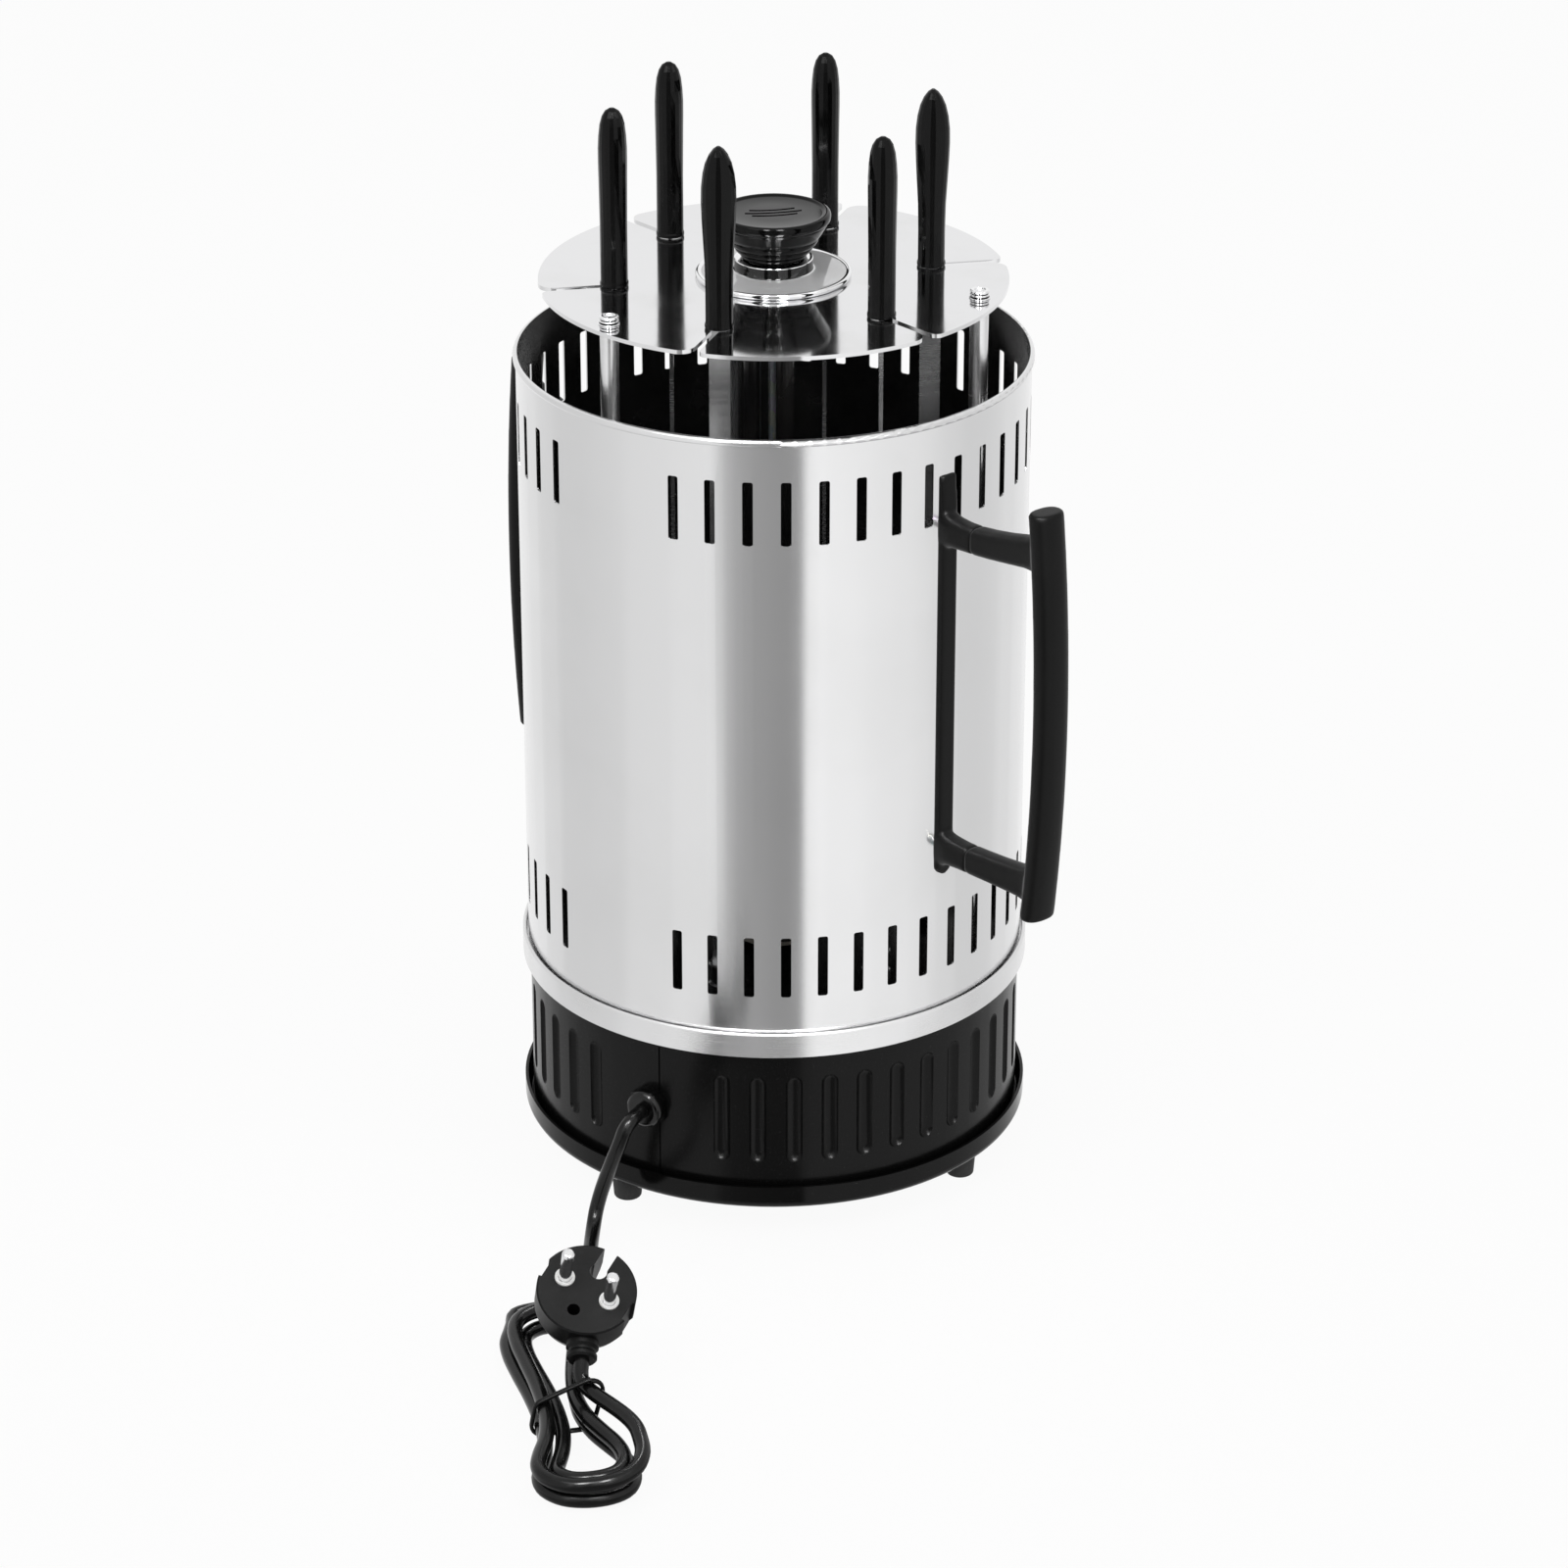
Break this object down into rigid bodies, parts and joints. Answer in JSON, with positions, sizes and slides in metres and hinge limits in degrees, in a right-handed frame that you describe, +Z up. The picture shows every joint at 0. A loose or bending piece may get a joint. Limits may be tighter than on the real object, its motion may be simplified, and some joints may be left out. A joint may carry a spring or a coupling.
{
  "type": "vertical electric grill",
  "caption": "Vertical electric grill with a lift-off slotted steel casing, turning skewers round a central heater, a geared base, a slitted top disc and a coiled mains lead.",
  "frame": {"origin": "on the floor under the casing's axis, at the bottom of the feet", "axes": "+Z up along the casing's axis; +X to the right and +Y away from the viewer of the picture"},
  "size_m": [0.2233, 0.4333, 0.4368],
  "materials": {
    "gloss_black_enamel": "gloss",
    "black_enamel": "satin gloss",
    "stainless": "satin stainless steel",
    "casing_steel": "fine satin stainless sheet, black inside",
    "mirror_steel": "polished stainless sheet",
    "rubber_black": "matte",
    "zinc_steel": "zinc plated",
    "bush_brass": "turned",
    "motor_grey": "satin",
    "ceramic": "matte ceramic",
    "heater_glass": "dark glossy tube",
    "chrome": "polished",
    "gloss_black_plastic": "gloss",
    "black_plastic": "fine matte",
    "cord_black": "smooth sheath",
    "nickel": "nickel plated",
    "white_plastic": "matte",
    "gear_nylon": "moulded"
  },
  "bodies": {
    "stand": {"base_tray": "gloss_black_enamel", "base_housing": "black_enamel", "base_ring": "stainless", "feet": "rubber_black", "base_screws": "zinc_steel", "pillars": "zinc_steel", "chassis_plate": "zinc_steel", "bearing_plate": "zinc_steel", "spindle_bushes": "bush_brass", "centre_sleeve": "zinc_steel", "motor": "motor_grey", "drip_pan": "black_enamel", "heater_holders": "ceramic", "heater_tubes": "heater_glass", "posts": "stainless", "post_nuts": "chrome", "top_disc": "mirror_steel", "tie_rod": "zinc_steel", "knob_dish": "chrome", "knob": "gloss_black_plastic", "gland_body": "black_plastic", "gland_nut": "black_plastic", "cord_lead": "cord_black", "cord_hank": "cord_black", "cord_tie": "black_plastic", "plug_body": "black_plastic", "plug_pins": "nickel", "plug_collars": "white_plastic"},
    "casing_body": {"casing": "casing_steel", "handle_mount_near": "black_plastic", "handle_grip_near": "black_plastic", "handle_mount_far": "black_plastic", "handle_grip_far": "black_plastic", "handle_screws": "zinc_steel"},
    "drive": {"drive_gear": "gear_nylon"},
    "pinion": {"motor_pinion": "gear_nylon"},
    "turner_1": {"spindle_1": "stainless", "skewer_gear_1": "gear_nylon"},
    "skewer_1": {"skewer_blade_1": "stainless", "skewer_handle_1": "gloss_black_plastic"},
    "turner_2": {"spindle_2": "stainless", "skewer_gear_2": "gear_nylon"},
    "skewer_2": {"skewer_blade_2": "stainless", "skewer_handle_2": "gloss_black_plastic"},
    "turner_3": {"spindle_3": "stainless", "skewer_gear_3": "gear_nylon"},
    "skewer_3": {"skewer_blade_3": "stainless", "skewer_handle_3": "gloss_black_plastic"},
    "turner_4": {"spindle_4": "stainless", "skewer_gear_4": "gear_nylon"},
    "skewer_4": {"skewer_blade_4": "stainless", "skewer_handle_4": "gloss_black_plastic"},
    "turner_5": {"spindle_5": "stainless", "skewer_gear_5": "gear_nylon"},
    "skewer_5": {"skewer_blade_5": "stainless", "skewer_handle_5": "gloss_black_plastic"},
    "turner_6": {"spindle_6": "stainless", "skewer_gear_6": "gear_nylon"},
    "skewer_6": {"skewer_blade_6": "stainless", "skewer_handle_6": "gloss_black_plastic"}
  },
  "joints": [
    {"name": "casing_lift", "type": "slide", "parent": "stand", "child": "casing_body", "axis": [0, 0, 1], "range_m": [0, 0.36]},
    {"name": "drive_spin", "type": "hinge", "parent": "stand", "child": "drive", "pos_m": [0, 0, 0.0524], "axis": [0, 0, 1], "continuous": true},
    {"name": "pinion_spin", "type": "hinge", "parent": "stand", "child": "pinion", "pos_m": [0.04075, 0.03543, 0.0502], "axis": [0, 0, 1], "continuous": true},
    {"name": "turner_1_spin", "type": "hinge", "parent": "stand", "child": "turner_1", "pos_m": [0.06086, 0.01183, 0.0502], "axis": [0, 0, 1], "continuous": true},
    {"name": "skewer_1_lift", "type": "slide", "parent": "turner_1", "child": "skewer_1", "axis": [0, 0, 1], "range_m": [0, 0.3]},
    {"name": "turner_2_spin", "type": "hinge", "parent": "stand", "child": "turner_2", "pos_m": [0.02019, 0.05862, 0.0502], "axis": [0, 0, 1], "continuous": true},
    {"name": "skewer_2_lift", "type": "slide", "parent": "turner_2", "child": "skewer_2", "axis": [0, 0, 1], "range_m": [0, 0.3]},
    {"name": "turner_3_spin", "type": "hinge", "parent": "stand", "child": "turner_3", "pos_m": [-0.04068, 0.04679, 0.0502], "axis": [0, 0, 1], "continuous": true},
    {"name": "skewer_3_lift", "type": "slide", "parent": "turner_3", "child": "skewer_3", "axis": [0, 0, 1], "range_m": [0, 0.3]},
    {"name": "turner_4_spin", "type": "hinge", "parent": "stand", "child": "turner_4", "pos_m": [-0.06086, -0.01183, 0.0502], "axis": [0, 0, 1], "continuous": true},
    {"name": "skewer_4_lift", "type": "slide", "parent": "turner_4", "child": "skewer_4", "axis": [0, 0, 1], "range_m": [0, 0.3]},
    {"name": "turner_5_spin", "type": "hinge", "parent": "stand", "child": "turner_5", "pos_m": [-0.02019, -0.05862, 0.0502], "axis": [0, 0, 1], "continuous": true},
    {"name": "skewer_5_lift", "type": "slide", "parent": "turner_5", "child": "skewer_5", "axis": [0, 0, 1], "range_m": [0, 0.3]},
    {"name": "turner_6_spin", "type": "hinge", "parent": "stand", "child": "turner_6", "pos_m": [0.04068, -0.04679, 0.0502], "axis": [0, 0, 1], "continuous": true},
    {"name": "skewer_6_lift", "type": "slide", "parent": "turner_6", "child": "skewer_6", "axis": [0, 0, 1], "range_m": [0, 0.3]}
  ],
  "couplings": [
    {"joint": "pinion_spin", "follows": "drive_spin", "ratio": -5},
    {"joint": "turner_1_spin", "follows": "drive_spin", "ratio": -2.6471},
    {"joint": "turner_2_spin", "follows": "drive_spin", "ratio": -2.6471},
    {"joint": "turner_3_spin", "follows": "drive_spin", "ratio": -2.6471},
    {"joint": "turner_4_spin", "follows": "drive_spin", "ratio": -2.6471},
    {"joint": "turner_5_spin", "follows": "drive_spin", "ratio": -2.6471},
    {"joint": "turner_6_spin", "follows": "drive_spin", "ratio": -2.6471}
  ]
}
